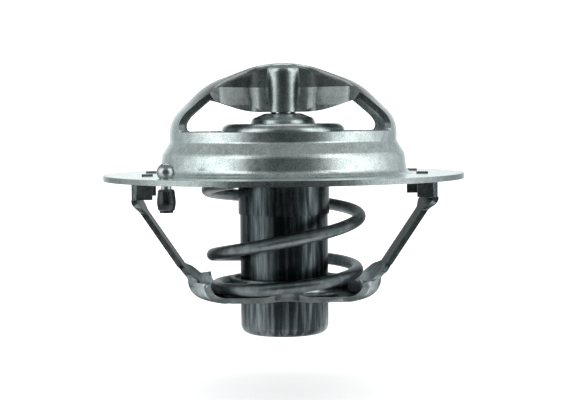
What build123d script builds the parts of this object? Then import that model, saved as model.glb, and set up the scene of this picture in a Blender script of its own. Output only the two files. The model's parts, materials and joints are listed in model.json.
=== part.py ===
from build123d import *
from build123d.topology import SkipClean
from math import asin, atan, cos, degrees, pi, radians, sin, sqrt
import os

os.makedirs("parts", exist_ok=True)

# Engine coolant thermostat, in millimetres. Z is the valve's axis and points to the
# bridge; the origin lies on it, at the underside of the flange. The bridge spans along X.

# Overall sizes
flange_dia = 54.5
overall_height = 41.0
dome_height = 17.5
frame_depth = 18.0

# Flange, bands and dome: one stamped sheet
sheet = 0.8
land_width = 2.95
root_radius = 18.75
lower_band_radius = 18.36
seat_height = 3.85
upper_band_radius = 17.2
upper_band_height = 5.75
dome_bend_height = 8.95
dome_turn_radius = 11.63
dome_turn_drop = 3.1
crown_corner_radius = 3.05
window_sill = 7.2
window_corner = 1.5
strip_width = 13.4

# Pinched saddle in the middle of the bridge
saddle_reach = 12.6
saddle_floor = 10.1
waist_reach = 4.2
waist_gap = 0.2
waist_blend = 0.6
waist_bend = 2.5
wing_reach = 9.3
wing_bend = 2.2
wing_flare = 1.6
brim_radius = 1.3
pinch_rise = 3.7
pinch_depth = 0.7
floor_flat = 5.3
floor_rise = 1.6
floor_reach = 9.9

# Wax element and piston
piston_dia = 3.9
piston_clearance = 0.05
piston_tip_gap = 0.1
crown_gap = 0.2
piston_chamfer = 0.4
element_dia = 13.4
guide_step = 0.23
guide_end = -5.3
cup_wall = 0.8
cup_floor = 1.0
foot_corner = 1.3
neck_wall = 0.6
cap_flange = 1.34
cap_height = 1.55
cap_side = 0.8
cap_draft = 0.25
cap_slope = 1.9
cap_edge = 0.8
cap_bend = 1.6
cap_roof = 0.6
spigot_length = 3.0
boot_wall = 1.6
boot_floor = 1.0
boot_flange = 1.2
washer_sheet = 0.5
wax_below_boot = 3.0
seal_height = 1.1
seal_width = 1.0
fit = 0.02

# Valve
plate_sheet = 0.8
plate_rise = 0.55
rim_cover = 1.03
hat_room = 2.43
hat_top = 8.35
hat_bend = 1.2
seal_grip = 0.9
lip_thickness = 0.5
seat_gap = 0.05

# Spring
wire_dia = 1.85
coil_room = 1.175
coil_radius_high = 12.5
coil_lean = 0.55
coil_shift = 0.35
first_turn = -0.22
last_turn = 3.78
climb_starts = 0.556
climb_ends = 3.042
ease_in = 0.833
ease_out = 0.278

# Lower frame: one bent strap
strap = 0.8
arm_width = 12.8
arm_inset = 4.5
shoulder_drop = 3.2
dish_room = 3.425
dish_rise = 3.0
dish_bend = 2.6
dish_draft = 0.4
arm_blend = 2.1
collar_gap = 0.62
collar_rise = 3.1
collar_trim = 0.05
tab_length = 3.1
tab_drop = 2.7
tongue_width = 1.3
tongue_inset = 2.4
arm_bend = 1.0
collar_bend = 1.6
stake_height = 0.3
stake_spread = 0.3
slot_gap = 0.05
notch_width = 0.7
notch_depth = 0.35
notch_offset = 8.6

# Jiggle pin
pin_angle = 220.5
pin_inset = 4.55
pin_ball_dia = 2.65
pin_hole_dia = 1.95
pin_neck_dia = 1.5
barrel_dia = 2.75
barrel_top_gap = 0.7
barrel_length = 3.1
pin_rivet = 0.25
barrel_corner = 0.35
barrel_draft = 0.22
barrel_belly = 1.2
barrel_bend = 2.5

# Places that follow from the sizes
flange_radius = flange_dia / 2
land_radius = flange_radius - land_width
foot_z = dome_height - overall_height
frame_z = -frame_depth
half_strip = strip_width / 2
saddle_end = floor_reach + 1.5
arm_reach = flange_radius - arm_inset
piston_radius = piston_dia / 2
bore_radius = piston_radius + piston_clearance
socket_radius = bore_radius + sheet
piston_top = dome_height - sheet - crown_gap
pinch_height = saddle_floor + pinch_rise
pinch_draft = degrees(atan(pinch_depth / (dome_height - pinch_height)))
flare_draft = degrees(atan(pinch_depth / pinch_rise))
cup_radius = element_dia / 2
cup_bore = cup_radius - cup_wall
guide_radius = cup_radius + guide_step
seal_radius = bore_radius + seal_width
neck_radius = seal_radius + neck_wall
cap_radius = neck_radius + cap_flange
cap_top = hat_top + cap_height
neck_top = cap_top - cap_roof
boot_radius = bore_radius + boot_wall
boot_top = guide_end - spigot_length - washer_sheet
boot_end = foot_z + cup_floor + wax_below_boot
hat_radius = guide_radius + hat_room
plate_top = seat_height + plate_rise
plate_bottom = plate_top - plate_sheet
collar_radius = guide_radius + collar_gap + strap
coil_radius_low = collar_radius + coil_room + wire_dia / 2
dish_radius = coil_radius_low + wire_dia / 2 + dish_room
dish_width = 2 * (collar_radius - collar_trim)
arm_spread = degrees(asin(arm_width / 2 / dish_radius))
slot_reach = arm_reach - tongue_inset
slot_offset = (arm_width - strap) / 2
slot_places = [(x, y) for x in (slot_reach, -slot_reach) for y in (-slot_offset, slot_offset)]
pin_reach = flange_radius - pin_inset
pin_place = (pin_reach * cos(radians(pin_angle)), pin_reach * sin(radians(pin_angle)))


def other_face(points, bends, thickness):
    """Points and bends of a bent sheet's other face, which lies to the left of its first one."""
    steps = [(Vector(*b) - Vector(*a)).normalized() for a, b in zip(points, points[1:])]
    normals = [Vector(-step.Y, step.X) for step in steps]
    mitres = [(a + b) / (1 + a.dot(b)) for a, b in zip(normals, normals[1:])]
    shifts = [normals[0], *mitres, normals[-1]]
    turns = [a.cross(b).Z for a, b in zip(steps, steps[1:])]
    places = [Vector(*point) + shift * thickness for point, shift in zip(points, shifts)]
    return places, [r - thickness if turn > 0 else r + thickness for r, turn in zip(bends, turns)]


def bent_sheet(points, bends, thickness):
    """Closed outline of a bent sheet: one face along the points, the other to their left."""
    other, other_bends = other_face(points, bends, thickness)
    FilletPolyline(*points, radius=bends)
    Line(points[-1], other[-1])
    FilletPolyline(*reversed(other), radius=other_bends[::-1])
    Line(other[0], points[0])


def turned(points, bends=None):
    """Solid of revolution round the valve's axis from a closed outline of (radius, height)."""
    with BuildPart() as piece:
        with BuildSketch(Plane.XZ):
            with BuildLine():
                if bends:
                    FilletPolyline(*points, radius=bends, close=True)
                else:
                    Polyline(*points, close=True)
            make_face()
        revolve(axis=Axis.Z)
    return piece.part


def seat_radius(height):
    """Radius of the ring that closes on the sheet's inner cone at a height."""
    slope = (lower_band_radius - upper_band_radius) / (upper_band_height - seat_height)
    stretch = sqrt(1 + slope**2)
    return lower_band_radius - slope * (height - seat_height) - (sheet + seat_gap) * stretch


# The sheet's outer line, from the clamped land over both bands to the crown, and its inner one
skin_points = [
    (land_radius, sheet),
    (root_radius, sheet),
    (lower_band_radius, seat_height),
    (upper_band_radius, upper_band_height),
    (upper_band_radius, dome_bend_height),
    (dome_turn_radius, dome_height - dome_turn_drop),
    (crown_corner_radius, dome_height),
    (0, dome_height),
]
skin_bends = [1.2, 1.6, 0.6, 4.6, 11.0, 16.0]
inner_points, inner_bends = other_face(skin_points, skin_bends, sheet)


def saddle_plan(inset):
    """Bow-tie outline of the saddle seen from above, drawn in by an inset."""
    half = half_strip - inset
    waist = waist_gap + sheet + pinch_depth - inset
    reach = saddle_reach + 2
    quarter = [(reach, half + wing_flare), (wing_reach, half), (waist_reach, waist)]
    bends = [0, wing_bend - inset, waist_bend + inset]
    right = [*quarter, *[(-x, y) for x, y in reversed(quarter)]]
    left = [(x, -y) for x, y in reversed(right)]
    FilletPolyline(*right, *left, radius=2 * (bends + bends[::-1]), close=True)


def pinched(inset, floor):
    """Solid inside the saddle's walls: narrowest at the pinch, flared below it and above it."""
    with BuildPart() as core:
        for draft, rise in ((pinch_draft, dome_height - pinch_height), (flare_draft, floor - pinch_height)):
            with BuildSketch(Plane.XY.offset(pinch_height)):
                with BuildLine():
                    saddle_plan(pinch_depth + inset)
                make_face()
            extrude(amount=rise, taper=-draft)
    return core.part


# Solid form of the bridge: the crown cut to the saddle's outline, its brim rolled over, its
# walls pinched in, and the half-round piston socket standing out of the waist
with BuildPart() as saddle_core:
    add(pinched(0, window_sill))
    with BuildSketch(Plane.XY.offset(window_sill)):
        Circle(socket_radius)
    extrude(amount=dome_height)
    with BuildSketch(Plane.XY.offset(window_sill)):
        Rectangle(2 * saddle_reach, strip_width)
    extrude(amount=dome_height, mode=Mode.INTERSECT)

with BuildPart() as saddle:
    with BuildSketch(Plane.XZ):
        with BuildLine():
            FilletPolyline(*skin_points, radius=skin_bends)
            Polyline((0, dome_height), (0, 0), (land_radius, 0), (land_radius, sheet))
        make_face()
    revolve(axis=Axis.Z)
    with BuildSketch(Plane.XY.offset(window_sill)) as outline:
        with BuildLine():
            saddle_plan(0)
        make_face()
        Circle(socket_radius)
        corners = outline.vertices()
        joints = corners.filter_by(lambda corner: corner.X**2 + corner.Y**2 < (socket_radius + fit) ** 2)
        fillet(joints, waist_blend)
        Rectangle(2 * saddle_reach, 4 * strip_width, mode=Mode.INTERSECT)
    extrude(amount=dome_height, mode=Mode.INTERSECT)
    upright = saddle.faces().filter_by(lambda face: abs(face.normal_at().Z) < 0.001)
    walls = upright.filter_by(lambda face: abs(face.normal_at().X) < 0.999)
    brim = [
        edge
        for edge in walls.edges()
        if edge.center().Z > saddle_floor and abs(edge.tangent_at(0.5).Z) < 0.9
    ]
    fillet(brim, brim_radius)
    add(saddle_core.part, mode=Mode.INTERSECT)

# What is hollow in it: all inside the walls but the socket, and all under the wavy lower edge
hollow_z = window_sill - sheet
floor_half = [
    (saddle_end, saddle_floor + floor_rise + 0.4),
    (floor_reach, saddle_floor + floor_rise),
    (floor_flat, saddle_floor),
]
with BuildPart() as hollow:
    add(pinched(sheet, hollow_z))
    with BuildSketch(Plane.XY.offset(hollow_z)):
        Circle(socket_radius)
    extrude(amount=dome_height, mode=Mode.SUBTRACT)
    with BuildSketch(Plane.XY.offset(hollow_z)):
        Circle(bore_radius)
    extrude(amount=dome_height)
    with BuildSketch(Plane.XZ):
        with BuildLine():
            FilletPolyline(
                *floor_half, *[(-x, z) for x, z in reversed(floor_half)], radius=[2.0, 12.0, 12.0, 2.0]
            )
            Polyline(
                (-saddle_end, floor_half[0][1]),
                (-saddle_end, dome_height),
                (-saddle_reach - 1, dome_height),
                (-saddle_reach - 1, hollow_z),
                (saddle_reach + 1, hollow_z),
                (saddle_reach + 1, dome_height),
                (saddle_end, dome_height),
                floor_half[0],
            )
        make_face()
    extrude(amount=strip_width, both=True)
    with BuildSketch(Plane.XZ):
        with BuildLine():
            FilletPolyline(*inner_points, radius=inner_bends)
            Polyline(inner_points[-1], (0, -sheet), (land_radius, -sheet), inner_points[0])
        make_face()
    revolve(axis=Axis.Z, mode=Mode.INTERSECT)

with BuildPart() as bridge:
    add(saddle.part)
    add(hollow.part, mode=Mode.SUBTRACT)

# Flange, both bands and the dome's two legs between its windows, joined by the bridge
with BuildPart() as flange_bridge:
    with BuildSketch(Plane.XZ):
        with BuildLine():
            bent_sheet(skin_points, skin_bends, sheet)
        make_face()
    revolve(axis=Axis.Z)
    with BuildSketch(Plane.XY.offset(window_sill)):
        Rectangle(2 * saddle_reach, flange_dia)
    extrude(amount=dome_height, mode=Mode.SUBTRACT)
    with BuildSketch(Plane.YZ):
        with BuildLine():
            FilletPolyline(
                (half_strip, window_sill),
                (flange_dia, window_sill),
                (flange_dia, 2 * dome_height),
                (half_strip, 2 * dome_height),
                radius=[window_corner, 0, 0, 0],
                close=True,
            )
        make_face()
        mirror(about=Plane.YZ)
    extrude(amount=flange_radius, both=True, mode=Mode.SUBTRACT)
    add(bridge.part)
    with BuildSketch():
        with Locations(*slot_places):
            Rectangle(tongue_width + 2 * slot_gap, strap + 2 * slot_gap)
        with Locations(pin_place):
            Circle(pin_hole_dia / 2)
    extrude(amount=sheet, mode=Mode.SUBTRACT)
    # The land that the housing clamps stays a face of its own, clear of all that is riveted on
    with BuildSketch():
        Circle(flange_radius)
        Circle(land_radius, mode=Mode.SUBTRACT)
    with SkipClean():
        extrude(amount=sheet, clean=False)
flange_bridge.part.label = "flange_bridge"
export_step(flange_bridge.part, "parts/flange_bridge.step")

# Lower frame: a dish with a drawn collar, and two straps with folded, staked shoulders
arm_slope = (arm_reach - dish_radius) / (frame_depth - shoulder_drop - dish_rise)
blend_top = frame_z + dish_rise + arm_blend
blend_reach = dish_radius + arm_slope * arm_blend
arm_lean = strap * sqrt(1 + arm_slope**2)
dish_points = [
    (collar_radius - strap, frame_z + collar_rise),
    (collar_radius - strap, frame_z),
    (dish_radius - dish_draft, frame_z),
    (dish_radius, frame_z + dish_rise),
]
web_points = [
    (dish_radius, frame_z + dish_rise),
    (arm_reach, -shoulder_drop),
    (arm_reach, -tab_drop),
]
channel_points = [
    (arm_reach - tab_length, -arm_width / 2),
    (arm_reach, -arm_width / 2),
    (arm_reach, arm_width / 2),
    (arm_reach - tab_length, arm_width / 2),
]
with BuildPart() as arm:
    with BuildSketch(Plane.XZ):
        with BuildLine():
            bent_sheet(web_points, [arm_bend], strap)
        make_face()
    extrude(amount=arm_width / 2, both=True)
    split(bisect_by=Plane.XY.offset(blend_top), keep=Keep.TOP)
    with BuildSketch(Plane.XY.offset(blend_top)):
        with Locations((blend_reach - arm_lean / 2, 0)):
            Rectangle(arm_lean, arm_width)
    with BuildSketch(Plane.XY.offset(frame_z + dish_rise)):
        with BuildLine():
            outer_arc = CenterArc((0, 0), dish_radius, -arm_spread, 2 * arm_spread)
            inner_arc = CenterArc((0, 0), dish_radius - strap, -arm_spread, 2 * arm_spread)
            Line(outer_arc @ 0, inner_arc @ 0)
            Line(outer_arc @ 1, inner_arc @ 1)
        make_face()
    loft(ruled=True)
    with BuildSketch():
        with BuildLine():
            bent_sheet(channel_points, [arm_bend, arm_bend], strap)
        make_face()
    extrude(amount=-tab_drop)
    with BuildSketch():
        with Locations(*slot_places[:2]):
            Rectangle(tongue_width, strap)
    extrude(amount=sheet)
    with BuildSketch(Plane.XY.offset(sheet)):
        with Locations(*slot_places[:2]):
            Rectangle(tongue_width + stake_spread, strap + stake_spread)
    extrude(amount=stake_height)

with BuildPart() as lower_frame:
    with BuildSketch(Plane.XZ):
        with BuildLine():
            bent_sheet(dish_points, [collar_bend, dish_bend], strap)
        make_face()
    revolve(axis=Axis.Z)
    with BuildSketch(Plane.XY.offset(frame_z)):
        Rectangle(4 * dish_radius, dish_width)
        for notch_side in (-1, 1):
            with Locations(*[(x, notch_side * dish_width / 2) for x in (-notch_offset, notch_offset)]):
                Rectangle(notch_width, 2 * notch_depth, mode=Mode.SUBTRACT)
    extrude(amount=dish_rise + collar_rise, mode=Mode.INTERSECT)
    add(arm.part)
    add(arm.part.rotate(Axis.Z, 180))
lower_frame.part.label = "lower_frame"
export_step(lower_frame.part, "parts/lower_frame.step")

# Valve plate with its stepped hat, and the rubber ring moulded round its rim
plate_radius = seat_radius(plate_top) - rim_cover
hat_points = [
    (plate_radius, plate_top),
    (hat_radius, plate_top),
    (hat_radius, hat_top),
    (neck_radius + fit, hat_top),
]
with BuildPart() as valve_plate:
    with BuildSketch(Plane.XZ):
        with BuildLine():
            bent_sheet(hat_points, [hat_bend, hat_bend], plate_sheet)
        make_face()
    revolve(axis=Axis.Z)
valve_plate.part.label = "valve_plate"
export_step(valve_plate.part, "parts/valve_plate.step")

lip_low = plate_bottom - lip_thickness
lip_high = plate_top + lip_thickness
lip_corner = plate_bottom + lip_thickness / 2
valve_ring = turned([
    (plate_radius - seal_grip, plate_bottom),
    (plate_radius - seal_grip, lip_low),
    (seat_radius(lip_corner), lip_low),
    (seat_radius(lip_corner), lip_corner),
    (seat_radius(lip_high), lip_high),
    (plate_radius - seal_grip, lip_high),
    (plate_radius - seal_grip, plate_top),
    (plate_radius, plate_top),
    (plate_radius, plate_bottom),
])
valve_ring.label = "valve_ring"
export_step(valve_ring, "parts/valve_ring.step")

# Wax element: guide, cap, cup and what they hold
element_guide = turned([
    (bore_radius, guide_end - spigot_length),
    (cup_bore - fit, guide_end - spigot_length),
    (cup_bore - fit, guide_end),
    (guide_radius, guide_end),
    (guide_radius, hat_top - plate_sheet),
    (neck_radius, hat_top - plate_sheet),
    (neck_radius, neck_top),
    (seal_radius, neck_top),
    (seal_radius, neck_top - seal_height),
    (bore_radius, neck_top - seal_height),
])
element_guide.label = "element_guide"
export_step(element_guide, "parts/element_guide.step")

retaining_cap = turned(
    [
        (bore_radius, neck_top),
        (neck_radius + fit, neck_top),
        (neck_radius + fit, hat_top),
        (cap_radius, hat_top),
        (cap_radius - cap_draft, hat_top + cap_side),
        (cap_radius - cap_draft - cap_slope, cap_top),
        (bore_radius, cap_top),
    ],
    [0, 0, 0, 0, cap_edge, cap_bend, 0],
)
retaining_cap.label = "retaining_cap"
export_step(retaining_cap, "parts/retaining_cap.step")

piston_seal = turned([
    (bore_radius, neck_top - seal_height),
    (seal_radius, neck_top - seal_height),
    (seal_radius, neck_top),
    (bore_radius, neck_top),
])
piston_seal.label = "piston_seal"
export_step(piston_seal, "parts/piston_seal.step")

element_cup = turned(
    [
        (0, foot_z),
        (cup_radius, foot_z),
        (cup_radius, guide_end),
        (cup_bore, guide_end),
        (cup_bore, foot_z + cup_floor),
        (0, foot_z + cup_floor),
    ],
    [0, foot_corner, 0, 0, foot_corner - cup_wall, 0],
)
element_cup.label = "element_cup"
export_step(element_cup, "parts/element_cup.step")

backup_washer = turned([
    (bore_radius, boot_top),
    (cup_bore - fit, boot_top),
    (cup_bore - fit, guide_end - spigot_length),
    (bore_radius, guide_end - spigot_length),
])
backup_washer.label = "backup_washer"
export_step(backup_washer, "parts/backup_washer.step")

rubber_boot = turned([
    (bore_radius, boot_top),
    (bore_radius, boot_end + boot_floor),
    (0, boot_end + boot_floor),
    (0, boot_end),
    (boot_radius, boot_end),
    (boot_radius, boot_top - boot_flange),
    (cup_bore - fit, boot_top - boot_flange),
    (cup_bore - fit, boot_top),
])
rubber_boot.label = "rubber_boot"
export_step(rubber_boot, "parts/rubber_boot.step")

wax_charge = turned([
    (0, boot_end - fit),
    (boot_radius + fit, boot_end - fit),
    (boot_radius + fit, boot_top - boot_flange - fit),
    (cup_bore - fit, boot_top - boot_flange - fit),
    (cup_bore - fit, foot_z + cup_floor + foot_corner),
    (cup_bore - foot_corner, foot_z + cup_floor + fit),
    (0, foot_z + cup_floor + fit),
])
wax_charge.label = "wax_charge"
export_step(wax_charge, "parts/wax_charge.step")

piston_foot = boot_end + boot_floor + piston_tip_gap
with BuildPart() as piston:
    with BuildSketch(Plane.XY.offset(piston_foot)):
        Circle(piston_radius)
    extrude(amount=piston_top - piston_foot)
    chamfer(piston.edges().filter_by(GeomType.CIRCLE), piston_chamfer)
piston.part.label = "piston"
export_step(piston.part, "parts/piston.step")

# Return spring: closed end turns, a cone between them, a slight lean and offset as wound
coil_low = frame_z + strap + wire_dia / 2 + fit
coil_high = plate_bottom - wire_dia / 2 - fit


def coil_point(turn):
    """Centre of the wire after a number of turns, counted from +X."""
    share = (turn - first_turn) / (last_turn - first_turn)
    travelled = min(max(turn - climb_starts, 0), climb_ends - climb_starts)
    speed = 1 / (climb_ends - climb_starts - (ease_in + ease_out) / 2)
    left = climb_ends - climb_starts - travelled
    if travelled < ease_in:
        climb = speed * travelled**2 / (2 * ease_in)
    elif left < ease_out:
        climb = 1 - speed * left**2 / (2 * ease_out)
    else:
        climb = speed * (travelled - ease_in / 2)
    angle = 2 * pi * turn
    middle = sin(pi * min(max(climb, 0), 1))
    radius = coil_radius_low + (coil_radius_high - coil_radius_low) * share**1.3
    return (
        radius * cos(angle) + coil_shift * (1 - share),
        radius * sin(angle),
        coil_low + (coil_high - coil_low) * climb + coil_lean * middle * cos(angle),
    )


coil_steps = 64
coil_turns = [first_turn + (last_turn - first_turn) * k / coil_steps for k in range(coil_steps + 1)]
with BuildPart() as main_spring:
    with BuildLine():
        wire = Spline(*[coil_point(turn) for turn in coil_turns])
    with BuildSketch(Plane(wire @ 0, z_dir=wire % 0)):
        Circle(wire_dia / 2)
    sweep()
main_spring.part.label = "main_spring"
export_step(main_spring.part, "parts/main_spring.step")

# Jiggle pin hanging in the flange by its ball, with the barrel weight crimped on below
pin_ball_height = sheet + sqrt((pin_ball_dia / 2) ** 2 - (pin_hole_dia / 2) ** 2) + fit
barrel_top = -barrel_top_gap
barrel_foot = barrel_top - barrel_length
pin_foot = barrel_foot - pin_rivet
with BuildPart() as jiggle_pin:
    with BuildSketch(Plane.XZ):
        with Locations((0, pin_ball_height)):
            Circle(pin_ball_dia / 2)
        with Locations((0, (pin_foot + pin_ball_height) / 2)):
            Rectangle(pin_neck_dia, pin_ball_height - pin_foot)
        with Locations((0, pin_foot + pin_rivet / 2)):
            Rectangle(pin_hole_dia, pin_rivet)
        with Locations((pin_ball_dia, 0)):
            Rectangle(2 * pin_ball_dia, 4 * pin_ball_height + 4 * barrel_length, mode=Mode.INTERSECT)
    revolve(axis=Axis.Z)
jiggle_pin.part.position = (*pin_place, 0)
jiggle_pin.part.label = "jiggle_pin"
export_step(jiggle_pin.part, "parts/jiggle_pin.step")

jiggle_weight = turned(
    [
        (pin_neck_dia / 2 + fit, barrel_foot),
        (barrel_dia / 2 - barrel_draft, barrel_foot),
        (barrel_dia / 2, barrel_foot + barrel_belly),
        (barrel_dia / 2 - barrel_draft, barrel_top),
        (pin_neck_dia / 2 + fit, barrel_top),
    ],
    [0, barrel_corner, barrel_bend, barrel_corner, 0],
)
jiggle_weight.position = (*pin_place, 0)
jiggle_weight.label = "jiggle_weight"
export_step(jiggle_weight, "parts/jiggle_weight.step")
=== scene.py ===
# %% [markdown]
# # An engine coolant thermostat
# The object is a wax-element thermostat: a stamped steel flange with a domed, pinched
# bridge, a sprung valve under it, and a strap frame that holds the spring from below.
# The CAD model is loaded first as a fixed frame. Every piece made here sits in that
# frame, in metres, with the origin on the valve's axis at the underside of the flange.

# %% Load the frame
import json
import math

import bmesh
import bpy
from mathutils import Euler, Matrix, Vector


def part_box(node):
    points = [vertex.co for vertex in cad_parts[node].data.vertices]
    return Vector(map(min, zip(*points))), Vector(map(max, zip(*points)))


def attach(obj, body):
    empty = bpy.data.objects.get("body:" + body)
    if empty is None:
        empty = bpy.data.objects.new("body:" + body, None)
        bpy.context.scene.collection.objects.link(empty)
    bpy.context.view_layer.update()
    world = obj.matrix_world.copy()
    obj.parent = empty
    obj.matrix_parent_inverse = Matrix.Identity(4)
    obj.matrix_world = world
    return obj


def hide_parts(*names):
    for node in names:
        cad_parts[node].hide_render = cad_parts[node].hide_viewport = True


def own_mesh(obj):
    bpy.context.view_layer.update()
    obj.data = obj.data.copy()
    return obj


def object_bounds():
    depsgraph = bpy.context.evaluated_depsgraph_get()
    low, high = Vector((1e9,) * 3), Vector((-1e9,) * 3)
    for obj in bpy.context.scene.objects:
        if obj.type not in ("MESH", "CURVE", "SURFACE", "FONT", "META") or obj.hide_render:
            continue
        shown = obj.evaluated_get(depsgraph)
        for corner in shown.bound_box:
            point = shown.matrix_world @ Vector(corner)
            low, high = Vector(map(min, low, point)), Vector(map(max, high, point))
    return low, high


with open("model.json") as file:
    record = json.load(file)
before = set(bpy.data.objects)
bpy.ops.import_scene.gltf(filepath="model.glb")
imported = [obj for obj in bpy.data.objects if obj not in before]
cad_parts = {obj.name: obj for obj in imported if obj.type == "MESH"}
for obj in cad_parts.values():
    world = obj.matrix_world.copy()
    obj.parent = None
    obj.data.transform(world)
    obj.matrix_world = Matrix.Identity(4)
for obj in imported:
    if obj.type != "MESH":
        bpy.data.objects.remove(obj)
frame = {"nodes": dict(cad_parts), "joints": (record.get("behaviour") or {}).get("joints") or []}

cad_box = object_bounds()
nodes = frame["nodes"]
print("CAD box in mm:", [[round(1000 * v, 2) for v in corner] for corner in cad_box])

# %% [markdown]
# ## The camera
# The photograph is a product shot with a long lens, seen from slightly above the flange.
# The lens, the distance and the small tilt were worked out from the dimension lines and
# from how far each circle opens into an ellipse. The object is turned a little under the
# lens, so here the camera goes round the object by that angle instead.

# %% Make the camera
CAMERA_TURN = math.radians(-2.5)
CAMERA_DISTANCE = 0.2168
CAMERA_HEIGHT = 0.00926
CAMERA_PITCH = math.radians(3.31)
CAMERA_ROLL = math.radians(0.53)
LENS_MM = 90.69
SENSOR_MM = 36
NEAREST = 0.01

camera_data = bpy.data.cameras.new("camera")
camera_data.lens = LENS_MM
camera_data.sensor_width = SENSOR_MM
camera_data.clip_start = NEAREST
camera = bpy.data.objects.new("camera", camera_data)
camera.location = (
    CAMERA_DISTANCE * math.sin(CAMERA_TURN),
    -CAMERA_DISTANCE * math.cos(CAMERA_TURN),
    CAMERA_HEIGHT,
)
camera.rotation_euler = Euler((math.pi / 2 - CAMERA_PITCH, CAMERA_ROLL, CAMERA_TURN))
bpy.context.scene.collection.objects.link(camera)
bpy.context.scene.camera = camera
print("camera at", [round(1000 * v, 1) for v in camera.location], "mm")

# %% [markdown]
# ## Helpers for shader nodes
# Every finish below is a small tree of nodes that ends in one Principled shader. A few
# helpers keep those trees readable. One adds a node, sets its inputs by name, and joins
# any input that is given another node's output. The others wrap the nodes that come
# again and again: a noise, a colour ramp, a change of range and a mix of two colours.


# %% A node and a material
def add_node(tree, kind, inputs=None, **settings):
    """A new node in the tree, with its settings and inputs."""
    node = tree.nodes.new(kind)
    for name, value in settings.items():
        setattr(node, name, value)
    for name, value in (inputs or {}).items():
        if isinstance(value, bpy.types.NodeSocket):
            tree.links.new(value, node.inputs[name])
        else:
            node.inputs[name].default_value = value
    return node


def start_material(name):
    """A material with an empty tree, and that tree."""
    material = bpy.data.materials.new(name)
    material.use_nodes = True
    tree = material.node_tree
    tree.nodes.clear()
    return material, tree


# %% Noise, ramp, range and mix
def noise(tree, place, scale, detail):
    """A grey noise at a place, with so many waves a metre."""
    inputs = {"Vector": place, "Scale": scale, "Detail": detail}
    return add_node(tree, "ShaderNodeTexNoise", inputs).outputs["Fac"]


def ramp(tree, factor, stops):
    """A colour ramp over a factor, from (place, colour) stops."""
    node = add_node(tree, "ShaderNodeValToRGB", {"Fac": factor})
    while len(node.color_ramp.elements) < len(stops):
        node.color_ramp.elements.new(0.5)
    for element, (place, colour) in zip(node.color_ramp.elements, stops):
        element.position = place
        element.color = (*colour, 1)
    return node.outputs["Color"]


def ranged(tree, value, **limits):
    """A value brought from one range to another; both are 0 to 1 unless given."""
    inputs = {label.replace("_", " "): limit for label, limit in limits.items()}
    inputs["Value"] = value
    return add_node(tree, "ShaderNodeMapRange", inputs).outputs["Result"]


def blended(tree, share, first, second, kind="MIX"):
    """Two colours mixed by a share, or multiplied."""
    inputs = {0: share, 6: first, 7: second}
    return add_node(
        tree, "ShaderNodeMix", inputs, data_type="RGBA", blend_type=kind
    ).outputs[2]


# %% [markdown]
# ## Steel finishes
# The flange, the valve and the frame are pressed from stainless strip. Rolled strip is
# never mirror-smooth: it has a fine salt-and-pepper grain, soft cloudy patches where the
# press burnished it, and thin scratches. One function makes all of these steels from
# three noises of different sizes. Clouds change the colour and the roughness, the grain
# speckles the colour, and grain and scratches together raise the bump. A picture of
# steel could be wrapped round each piece instead, but noises that fill the space need
# no unwrapping and show no seam. Object coordinates are in metres, so a scale of 1000
# is one wave a millimetre.
#
# The colour also carries painted shade, where shade falls in hollows and on faces turned
# away from the light, and a little painted light. Two painted shades do this: one by height
# and one by distance from the axis, each given as millimetres and the share of light that
# is left there; a share above one paints light. The last size of a steel, its edge, is how
# bright the metal stays where it turns away from view.


# %% Painted shade by a length
def paint_shade_by(tree, length, low, high, painted_shade):
    """A grey of painted shade along a length, from (mm, share of light) pairs between two
    limits.
    """
    place = ranged(tree, length, From_Min=low, From_Max=high)
    stops = [((mm / 1000 - low) / (high - low), (part,) * 3) for mm, part in painted_shade]
    return ramp(tree, place, stops)


def height_and_radius(tree, place):
    """How high a point lies, and how far from the valve's axis."""
    height = add_node(tree, "ShaderNodeSeparateXYZ", {0: place}).outputs["Z"]
    flat = add_node(
        tree, "ShaderNodeVectorMath", {0: place, 1: (1, 1, 0)}, operation="MULTIPLY"
    ).outputs[0]
    radius = add_node(tree, "ShaderNodeVectorMath", {0: flat}, operation="LENGTH")
    return height, radius.outputs["Value"]


# %% Grain and scratches as bump
GRAIN_SCALE = 6500
GRAIN_DEPTH = 1.5e-5
SCRATCH_SCALE = 900
SCRATCH_DEPTH = 4e-5


def scratched_skin(tree, fine, scratch, strength):
    """A surface direction bent by the grain, and then by the scratches."""
    grainy = add_node(
        tree,
        "ShaderNodeBump",
        {"Height": fine, "Strength": strength, "Distance": GRAIN_DEPTH},
    ).outputs[0]
    return add_node(
        tree,
        "ShaderNodeBump",
        {
            "Height": scratch,
            "Strength": strength,
            "Distance": SCRATCH_DEPTH,
            "Normal": grainy,
        },
    ).outputs[0]


# %% A function for pressed steel
EVEN = ((0, 1), (1, 1))
SPECKS_BETWEEN = (0.4, 0.56)
SPECK_DEPTH = 0.6
PATCHES_BETWEEN = (0.42, 0.58)
ROUGHNESS_SPREAD = 0.25


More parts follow.
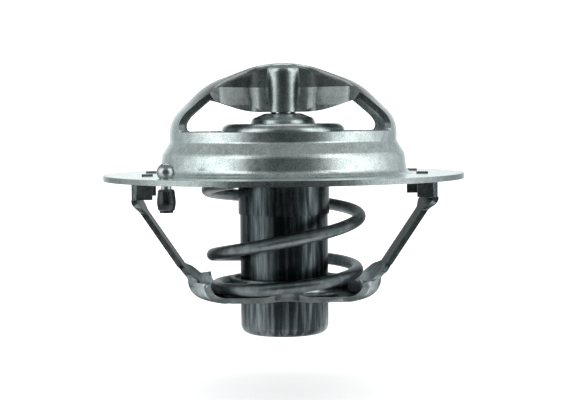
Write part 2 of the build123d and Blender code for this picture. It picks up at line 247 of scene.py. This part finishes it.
def pressed_steel(
    name,
    dark,
    light,
    roughness,
    grain=0.2,
    stretch=(1, 1, 1),
    clouds=160,
    painted_shade=EVEN,
    painted_ring_shade=EVEN,
    edge=1.0,
):
    """Satin metal: clouds, dark grain and scratches, with painted shade by height and by radius.
    """
    material, tree = start_material(name)
    place = add_node(tree, "ShaderNodeTexCoord").outputs["Object"]
    height, radius = height_and_radius(tree, place)
    drawn = add_node(
        tree, "ShaderNodeMapping", {"Vector": place, "Scale": stretch}
    ).outputs[0]
    cloud = noise(tree, drawn, scale=clouds, detail=4)
    fine = noise(tree, place, scale=GRAIN_SCALE, detail=2)
    scratch = noise(tree, drawn, scale=SCRATCH_SCALE, detail=5)
    both = add_node(
        tree, "ShaderNodeMath", {0: cloud, 1: scratch}, operation="ADD"
    ).outputs[0]
    mean = add_node(
        tree, "ShaderNodeMath", {0: both, 1: 0.5}, operation="MULTIPLY"
    ).outputs[0]
    speck_greys = [(1 - SPECK_DEPTH * grain,) * 3, (1, 1, 1)]
    speck = ramp(tree, fine, list(zip(SPECKS_BETWEEN, speck_greys)))
    patches = ramp(tree, mean, list(zip(PATCHES_BETWEEN, (dark, light))))
    # Painted shade by height and by radius; a share above one paints light.
    painted_height_shade = paint_shade_by(tree, height, cad_box[0].z, cad_box[1].z, painted_shade)
    painted_radius_shade = paint_shade_by(tree, radius, 0, cad_box[1].x, painted_ring_shade)
    patches_and_painted_shade = blended(tree, 1.0, patches, painted_height_shade, "MULTIPLY")
    grain_and_painted_shade = blended(tree, 1.0, painted_radius_shade, speck, "MULTIPLY")
    shader = add_node(
        tree,
        "ShaderNodeBsdfPrincipled",
        {
            "Base Color": blended(tree, 1.0, patches_and_painted_shade, grain_and_painted_shade, "MULTIPLY"),
            "Metallic": 1.0,
            "Specular Tint": (edge, edge, edge, 1),
            "Roughness": ranged(
                tree,
                mean,
                To_Min=roughness * (1 - ROUGHNESS_SPREAD),
                To_Max=roughness * (1 + ROUGHNESS_SPREAD),
            ),
            "Normal": scratched_skin(tree, fine, scratch, grain),
        },
    )
    add_node(tree, "ShaderNodeOutputMaterial", {"Surface": shader.outputs[0]})
    return material


# %% [markdown]
# The flange is the palest steel. Painted shade darkens the top of its bridge, the pinched
# panels beside the socket and the side face of its rim. Painted shade also makes the frame's
# slanting arms darker than its shoulders and its dish, and darkens the dish's lowest edge;
# its staked tabs get painted light. The element's noise is stretched along the height,
# which gives the dark, streaky look of drawn metal.

# %% Flange and valve
# Painted shade: the top of the bridge, the pinched panels beside the socket and the side face of
# the rim are darkened.
bridge_steel = pressed_steel(
    "bridge_steel",
    dark=(0.68, 0.76, 0.75),
    light=(0.88, 0.95, 0.94),
    roughness=0.28,
    grain=0.5,
    painted_shade=[(9.5, 1.0), (12, 0.75)],
    painted_ring_shade=[
        (3.5, 1.0),
        (4.4, 0.42),
        (12, 0.5),
        (15, 1.0),
        (26.5, 1.0),
        (27.1, 0.62),
    ],
)
valve_steel = pressed_steel(
    "valve_steel",
    dark=(0.50, 0.56, 0.56),
    light=(0.72, 0.78, 0.78),
    roughness=0.30,
    grain=0.5,
)
print("flange and valve steels are ready")

# %% Frame, element and spring wire
# Painted shade darkens the slanting arms and the dish's lowest edge; the staked tabs above the
# flange get painted light.
frame_steel = pressed_steel(
    "strap_steel",
    dark=(0.42, 0.48, 0.49),
    light=(0.68, 0.74, 0.75),
    roughness=0.30,
    grain=0.4,
    painted_shade=[
        (-17.3, 0.5),
        (-16.9, 1.0),
        (-15.2, 1.0),
        (-12.8, 0.36),
        (-0.4, 0.36),
        (0.2, 1.2),
    ],
    edge=0.2,
)
element_metal = pressed_steel(
    "element_metal",
    dark=(0.03, 0.038, 0.042),
    light=(0.185, 0.215, 0.225),
    roughness=0.26,
    stretch=(1.7, 1.7, 0.13),
    clouds=130,
)
wire_steel = pressed_steel(
    "wire_steel",
    dark=(0.11, 0.13, 0.135),
    light=(0.20, 0.225, 0.235),
    roughness=0.40,
)
print("frame, element and wire steels are ready")

# %% Piston, vent pin and its weight
piston_steel = pressed_steel(
    "piston_steel",
    dark=(0.55, 0.55, 0.56),
    light=(0.72, 0.72, 0.73),
    roughness=0.18,
)
# Painted shade: the pin's end below the barrel is darkened to a tenth.
pin_chrome = pressed_steel(
    "pin_chrome",
    dark=(0.34, 0.38, 0.38),
    light=(0.56, 0.6, 0.6),
    roughness=0.26,
    grain=0.1,
    painted_shade=[(-3.6, 0.1), (-3.2, 1.0)],
)
barrel_steel = pressed_steel(
    "barrel_steel",
    dark=(0.02, 0.022, 0.024),
    light=(0.07, 0.075, 0.08),
    roughness=0.30,
)
print("piston, pin and barrel steels are ready")

# %% [markdown]
# ## Rubber, wax and the sealing washer
# The ring round the valve and the boot inside are black moulded rubber: almost no colour,
# a broad dull sheen and a fine pimpled skin. One noise does it all here, because nothing
# drew or pressed this stuff in one direction. The wax and the washer are hidden inside,
# and still get a plain but believable finish.


# %% A function for moulded stuff
SKIN_SCALE = 1800
SKIN_BUMP = 0.3
SKIN_DEPTH = 3e-5
SKIN_BETWEEN = (0.35, 0.65)
SHEEN_SPREAD = 0.15


def moulded(name, dark, light, roughness, scale=SKIN_SCALE):
    """Non-metal with a pimpled skin and slight colour change."""
    material, tree = start_material(name)
    place = add_node(tree, "ShaderNodeTexCoord").outputs["Object"]
    skin = noise(tree, place, scale, detail=3)
    bump = add_node(
        tree,
        "ShaderNodeBump",
        {"Height": skin, "Strength": SKIN_BUMP, "Distance": SKIN_DEPTH},
    )
    shader = add_node(
        tree,
        "ShaderNodeBsdfPrincipled",
        {
            "Base Color": ramp(tree, skin, list(zip(SKIN_BETWEEN, (dark, light)))),
            "Roughness": ranged(
                tree,
                skin,
                To_Min=roughness * (1 - SHEEN_SPREAD),
                To_Max=roughness * (1 + SHEEN_SPREAD),
            ),
            "Normal": bump.outputs[0],
        },
    )
    add_node(tree, "ShaderNodeOutputMaterial", {"Surface": shader.outputs[0]})
    return material


# %% Rubber, wax and washer
ring_rubber = moulded(
    "ring_rubber",
    dark=(0.008, 0.008, 0.009),
    light=(0.022, 0.022, 0.024),
    roughness=0.5,
)
wax_brown = moulded(
    "wax_brown",
    dark=(0.45, 0.33, 0.18),
    light=(0.62, 0.5, 0.3),
    roughness=0.6,
    scale=700,
)
washer_white = moulded(
    "washer_white",
    dark=(0.7, 0.7, 0.68),
    light=(0.82, 0.82, 0.8),
    roughness=0.5,
)
print("rubber, wax and washer finishes are ready")

# %% [markdown]
# ## Finishes for the CAD nodes
# A CAD node whose shape is already right stays as it is and only gets a better finish.
# The spring and the frame get one as well, although better meshes replace them below.

# %% Give each CAD node its finish
finishes = {
    "flange_bridge": bridge_steel,
    "lower_frame": frame_steel,
    "piston": piston_steel,
    "main_spring": wire_steel,
    "valve_plate": valve_steel,
    "retaining_cap": valve_steel,
    "valve_ring": ring_rubber,
    "element_guide": element_metal,
    "element_cup": element_metal,
    "wax_charge": wax_brown,
    "rubber_boot": ring_rubber,
    "piston_seal": ring_rubber,
    "backup_washer": washer_white,
    "jiggle_pin": pin_chrome,
    "jiggle_weight": barrel_steel,
}
for name, material in finishes.items():
    nodes[name].data.materials.clear()
    nodes[name].data.materials.append(material)
print("finished nodes:", len(finishes))

# %% [markdown]
# ## The return spring
# The spring is one wire wound on a cone: a closed turn at the bottom, open turns that
# climb, and a closed turn under the valve. A Screw modifier could wind it, but it climbs
# evenly, and the closed ends would be lost. A shape that follows a rule like this is what
# Geometry Nodes are for. The tree counts points along the wire, gives each an angle, adds
# up a climbing speed that is nought at both ends, and sweeps a circle along the line. Low
# on the right the wire has to step over its own cut end, so it rises early there.

# %% The spring's sizes
STRAP_SHEET = 0.0008
WIRE = 0.00185
WIRE_GAP = 0.00002
anchor_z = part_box("lower_frame")[0].z + STRAP_SHEET
plate_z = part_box("valve_plate")[0].z
SPRING = {
    "First Turn": -0.05,
    "Last Turn": 3.7,
    "Climb Starts": 0.556,
    "Climb Ends": 3.042,
    "Ease In": 0.833,
    "Ease Out": 0.278,
    "Low Radius": 0.01045,
    "High Radius": 0.0125,
    "Low Height": anchor_z + WIRE / 2 + WIRE_GAP,
    "High Height": plate_z - WIRE / 2 - WIRE_GAP,
    "Lean": 0.00055,
    "Step Over": 0.0012,
    "Shift": 0.00035,
    "Wire": WIRE,
}
print("spring from", round(1000 * anchor_z, 2), "to", round(1000 * plate_z, 2), "mm")

# %% [markdown]
# Three helpers start a tree with a named input for each size, add a sum to it, and turn
# the finished tree into a plain mesh that rides on one body.


# %% Helpers for Geometry Nodes
def start_nodes(name, sizes):
    """A geometry tree with a float input for each size and a geometry output."""
    tree = bpy.data.node_groups.new(name, "GeometryNodeTree")
    for label, value in sizes.items():
        socket = tree.interface.new_socket(
            label, in_out="INPUT", socket_type="NodeSocketFloat"
        )
        socket.default_value = value
    tree.interface.new_socket(
        "Geometry", in_out="OUTPUT", socket_type="NodeSocketGeometry"
    )
    given = tree.nodes.new("NodeGroupInput")
    return tree, given.outputs


def sums(tree, kind, *values, clamp=False):
    """The result of a math node."""
    node = tree.nodes.new("ShaderNodeMath")
    node.operation = kind
    node.use_clamp = clamp
    for socket, value in zip(node.inputs, values):
        if isinstance(value, bpy.types.NodeSocket):
            tree.links.new(value, socket)
        else:
            socket.default_value = value
    return node.outputs[0]


def grow(name, tree, sizes, body):
    """Runs the tree on an empty mesh and keeps the result as a plain mesh on a body."""
    seed = bpy.data.objects.new(name + "_seed", bpy.data.meshes.new(name + "_seed"))
    bpy.context.scene.collection.objects.link(seed)
    modifier = seed.modifiers.new("grow", "NODES")
    modifier.node_group = tree
    for item in tree.interface.items_tree:
        if item.in_out == "INPUT" and item.name in sizes:
            modifier[item.identifier] = float(sizes[item.name])
    made = seed.evaluated_get(bpy.context.evaluated_depsgraph_get())
    mesh = bpy.data.meshes.new_from_object(made)
    seed.modifiers.clear()
    bpy.data.objects.remove(seed)
    piece = bpy.data.objects.new(name, mesh)
    bpy.context.scene.collection.objects.link(piece)
    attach(piece, body)
    print(name, "has", len(mesh.polygons), "faces")
    return piece


# %% Count along the wire
POINTS = 721
tree, size = start_nodes("wound_wire", SPRING)
index = add_node(tree, "GeometryNodeInputIndex").outputs[0]
share = sums(tree, "DIVIDE", index, POINTS - 1)
span = sums(tree, "SUBTRACT", size["Last Turn"], size["First Turn"])
turn = sums(tree, "ADD", sums(tree, "MULTIPLY", share, span), size["First Turn"])
angle = sums(tree, "MULTIPLY", turn, 2 * math.pi)
cosine = sums(tree, "COSINE", angle)
sine = sums(tree, "SINE", angle)
print("points along the wire:", POINTS)

# %% [markdown]
# The climb is a sum over the points. Its speed grows from nought over the first part of
# the open turns and dies away over the last, so the wire leaves both closed ends gently.

# %% Climb from turn to turn
begun = sums(tree, "SUBTRACT", turn, size["Climb Starts"])
wind_up = sums(tree, "DIVIDE", begun, size["Ease In"], clamp=True)
ahead = sums(tree, "SUBTRACT", size["Climb Ends"], turn)
wind_down = sums(tree, "DIVIDE", ahead, size["Ease Out"], clamp=True)
speed = sums(tree, "MULTIPLY", wind_up, wind_down)
added = add_node(
    tree, "GeometryNodeAccumulateField", {"Value": speed}, data_type="FLOAT"
)
climb = sums(tree, "DIVIDE", added.outputs["Leading"], added.outputs["Total"])
rise = sums(tree, "SUBTRACT", size["High Height"], size["Low Height"])
level = sums(tree, "ADD", sums(tree, "MULTIPLY", climb, rise), size["Low Height"])
print("open turns:", round(SPRING["Climb Ends"] - SPRING["Climb Starts"], 2))

# %% Lean, and step over the cut end
STEP_FROM = 0.5
middle = sums(tree, "SINE", sums(tree, "MULTIPLY", climb, math.pi))
lean = sums(tree, "MULTIPLY", sums(tree, "MULTIPLY", middle, cosine), size["Lean"])
passed = sums(tree, "SUBTRACT", turn, STEP_FROM, clamp=True)
over = sums(tree, "SINE", sums(tree, "MULTIPLY", passed, math.pi))
step = sums(tree, "MULTIPLY", sums(tree, "MULTIPLY", over, over), size["Step Over"])
z = sums(tree, "ADD", sums(tree, "ADD", level, lean), step)
print("the wire steps up by", 1000 * SPRING["Step Over"], "mm")

# %% Widen towards the top
CONE_POWER = 1.3
widening = sums(tree, "POWER", share, CONE_POWER)
spread = sums(tree, "SUBTRACT", size["High Radius"], size["Low Radius"])
radius = sums(tree, "ADD", sums(tree, "MULTIPLY", widening, spread), size["Low Radius"])
aside = sums(tree, "MULTIPLY", sums(tree, "SUBTRACT", 1.0, share), size["Shift"])
x = sums(tree, "ADD", sums(tree, "MULTIPLY", radius, cosine), aside)
y = sums(tree, "MULTIPLY", radius, sine)
print("radius", 1000 * SPRING["Low Radius"], "to", 1000 * SPRING["High Radius"], "mm")

# %% Sweep the wire
WIRE_SIDES = 28
line = add_node(tree, "GeometryNodeCurvePrimitiveLine", {"End": (0, 0, 1)})
dense = add_node(
    tree, "GeometryNodeResampleCurve", {"Curve": line.outputs[0], "Count": POINTS}
)
where = add_node(tree, "ShaderNodeCombineXYZ", {0: x, 1: y, 2: z})
wound = add_node(
    tree,
    "GeometryNodeSetPosition",
    {"Geometry": dense.outputs[0], "Position": where.outputs[0]},
)
ring = add_node(
    tree,
    "GeometryNodeCurvePrimitiveCircle",
    {"Resolution": WIRE_SIDES, "Radius": sums(tree, "MULTIPLY", size["Wire"], 0.5)},
)
wire = add_node(
    tree,
    "GeometryNodeCurveToMesh",
    {"Curve": wound.outputs[0], "Profile Curve": ring.outputs[0], "Fill Caps": True},
)
real = add_node(tree, "GeometryNodeRealizeInstances", {"Geometry": wire.outputs[0]})
coated = add_node(
    tree,
    "GeometryNodeSetMaterial",
    {"Geometry": real.outputs[0], "Material": wire_steel},
)
add_node(tree, "NodeGroupOutput", {"Geometry": coated.outputs[0]})
print("nodes in the tree:", len(tree.nodes))

# %% Grow the spring
spring = grow("return_spring", tree, SPRING, "housing")
for polygon in spring.data.polygons:
    polygon.use_smooth = len(polygon.vertices) == 4
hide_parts("main_spring")

# %% [markdown]
# When the valve opens, its plate presses the spring shorter. Here the valve's travel is
# read from the joints, and the spring is given a mesh of its own.

# %% The valve's travel, and the spring's own mesh
slides = {joint["name"]: joint for joint in frame["joints"]}
travel = slides["valve_slide"]["range_m"][1]
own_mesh(spring)

# %% [markdown]
# ## The strap frame
# The frame is one strap of steel: a dish that carries the spring, two slanting arms, and
# wide shoulders staked to the flange. On the real frame the arms are cut narrower than the
# shoulders, so that more coolant gets past. The CAD model leaves them as wide as the
# shoulders. The strap could be modelled again from nothing, but its bends already fit the
# flange and the spring. So a copy of its mesh is joined up, cut across at close heights
# at both ends of each arm, and drawn in towards the middle there, and the shoulders, the
# dish and every bend stay as they are.

# %% How wide the arms are left
ARM_TOP = -0.0036
ARM_FOOT = -0.0139
ARM_SHARE = 0.5
TOP_TAPER = 0.0013
FOOT_TAPER = 0.0010
TAPER_CUTS = 8


def arm_share(z):
    """The share of the strap's width that is left at a height."""
    inside = min((ARM_TOP - z) / TOP_TAPER, (z - ARM_FOOT) / FOOT_TAPER)
    ease = min(max(inside, 0), 1)
    return 1 - (1 - ARM_SHARE) * ease * ease * (3 - 2 * ease)


# %% Narrow the arms
POINTS_MEET = 1e-6
NARROWEST = ARM_SHARE + 0.001

shape = bmesh.new()
shape.from_mesh(nodes["lower_frame"].data)
bmesh.ops.remove_doubles(shape, verts=shape.verts, dist=POINTS_MEET)
for k in range(TAPER_CUTS + 1):
    part = k / TAPER_CUTS
    for cut_z in (ARM_TOP - TOP_TAPER * part, ARM_FOOT + FOOT_TAPER * part):
        everything = shape.verts[:] + shape.edges[:] + shape.faces[:]
        bmesh.ops.bisect_plane(
            shape, geom=everything, plane_co=(0, 0, cut_z), plane_no=(0, 0, 1)
        )
for point in shape.verts:
    point.co.y *= arm_share(point.co.z)
strap_mesh = bpy.data.meshes.new("strap_frame")
shape.to_mesh(strap_mesh)
shape.free()
arm_points = [v.co.y for v in strap_mesh.vertices if arm_share(v.co.z) < NARROWEST]
print("the arms are", round(1000 * 2 * max(arm_points), 1), "mm wide")
print("strap has", len(strap_mesh.polygons), "faces")

# %% Put the strap on the housing
BEND_ANGLE = math.radians(28)

strap_mesh.shade_smooth()
strap_mesh.set_sharp_from_angle(angle=BEND_ANGLE)
strap_mesh.materials.append(frame_steel)
strap_frame = bpy.data.objects.new("strap_frame", strap_mesh)
bpy.context.scene.collection.objects.link(strap_frame)
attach(strap_frame, "housing")
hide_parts("lower_frame")
print("strap_frame replaces lower_frame")

# %% [markdown]
# ## Floor and light
# Polished metal shows what is round it, so the studio matters as much as the finish. The
# metal sees a room: bright panels in front at both sides, dimmer walls and ceiling, and a
# dark gap behind the camera, which becomes the dark band down the middle of each round
# part. Matt surfaces get an even white glow instead, so the pale table stays nearly free
# of shadow, as in a catalogue picture. A picture of a studio could do this as well, but a
# few painted directions are enough, and each can be changed by itself. Three soft lamps
# add small highlights. The table lies lower than the object by the valve's travel, so the
# element has room to come down.

# %% Table
TABLE_GAP = 0.0002
TABLE_RADIUS = 0.075
TABLE_CORNERS = 96

floor_z = cad_box[0].z - travel - TABLE_GAP
circle = [2 * math.pi * k / TABLE_CORNERS for k in range(TABLE_CORNERS)]
table_mesh = bpy.data.meshes.new("table")
table_mesh.from_pydata(
    [(TABLE_RADIUS * math.cos(a), TABLE_RADIUS * math.sin(a), floor_z) for a in circle],
    [],
    [range(TABLE_CORNERS)],
)
table_top = bpy.data.objects.new("table", table_mesh)
table_paint, tree = start_material("table_paint")
shader = add_node(
    tree,
    "ShaderNodeBsdfPrincipled",
    {"Base Color": (0.92, 0.92, 0.92, 1), "Roughness": 0.9},
)
add_node(tree, "ShaderNodeOutputMaterial", {"Surface": shader.outputs[0]})
table_mesh.materials.append(table_paint)
bpy.context.scene.collection.objects.link(table_top)
print("table at", round(1000 * floor_z, 1), "mm")


# %% Lamps
def softbox(name, place, width, height, power):
    """A rectangular area lamp that looks at the object's middle."""
    lamp = bpy.data.lights.new(name, "AREA")
    lamp.shape = "RECTANGLE"
    lamp.size = width
    lamp.size_y = height
    lamp.energy = power
    holder = bpy.data.objects.new(name, lamp)
    holder.location = place
    holder.rotation_euler = (-Vector(place)).to_track_quat("-Z", "Y").to_euler()
    bpy.context.scene.collection.objects.link(holder)


softbox("left_box", (-0.38, -0.34, 0.30), width=0.22, height=0.22, power=0.16)
softbox("right_box", (0.38, -0.34, 0.30), width=0.22, height=0.22, power=0.16)
softbox("top_box", (0.0, 0.25, 0.45), width=0.4, height=0.25, power=0.4)
print("lamps:", len(bpy.data.lights))

# %% [markdown]
# The room is painted on the world by direction. The walls change from the front, behind
# the camera, to the back; below the horizon it is dark, and overhead it is dim. Only
# shiny surfaces see it: matt ones get the even glow, and the camera sees plain white.

# %% Walls, ground and ceiling
world = bpy.data.worlds.new("room")
bpy.context.scene.world = world
world.use_nodes = True
tree = world.node_tree
tree.nodes.clear()
direction = add_node(tree, "ShaderNodeTexCoord").outputs["Generated"]
parts = add_node(tree, "ShaderNodeSeparateXYZ", {0: direction}).outputs
WALLS = [
    (0.0, (0.02, 0.024, 0.025)),
    (0.1, (0.06, 0.07, 0.07)),
    (0.2, (0.85, 0.9, 0.9)),
    (0.34, (1.1, 1.15, 1.15)),
    (0.42, (0.95, 0.98, 0.98)),
    (0.5, (0.82, 0.85, 0.85)),
    (0.65, (0.46, 0.49, 0.49)),
    (0.92, (0.26, 0.28, 0.29)),
    (1.0, (0.95, 1.0, 1.0)),
]
GROUND = (0.05, 0.055, 0.06, 1)
CEILING = (0.17, 0.185, 0.185, 1)
walls = ramp(tree, ranged(tree, parts["Y"], From_Min=-1, From_Max=1), WALLS)
upwards = ranged(tree, parts["Z"], From_Min=-0.35, From_Max=-0.02)
grounded = blended(tree, upwards, GROUND, walls)
overhead = ranged(tree, parts["Z"], From_Min=0.3, From_Max=0.8)
painted = blended(tree, overhead, grounded, CEILING)
print("wall colours:", len(WALLS))

# %% Who sees what
GLOW = (1.2, 1.2, 1.2, 1)
WHITE = (1, 1, 1, 1)
ROOM_STRENGTH = 1.45
rays = add_node(tree, "ShaderNodeLightPath").outputs
soft = blended(tree, rays["Is Diffuse Ray"], painted, GLOW)
seen = blended(tree, rays["Is Camera Ray"], soft, WHITE)
back = add_node(tree, "ShaderNodeBackground", {"Color": seen, "Strength": ROOM_STRENGTH})
add_node(tree, "ShaderNodeOutputWorld", {"Surface": back.outputs[0]})
bpy.context.scene.view_settings.view_transform = "Standard"
print("nodes in the room:", len(tree.nodes))
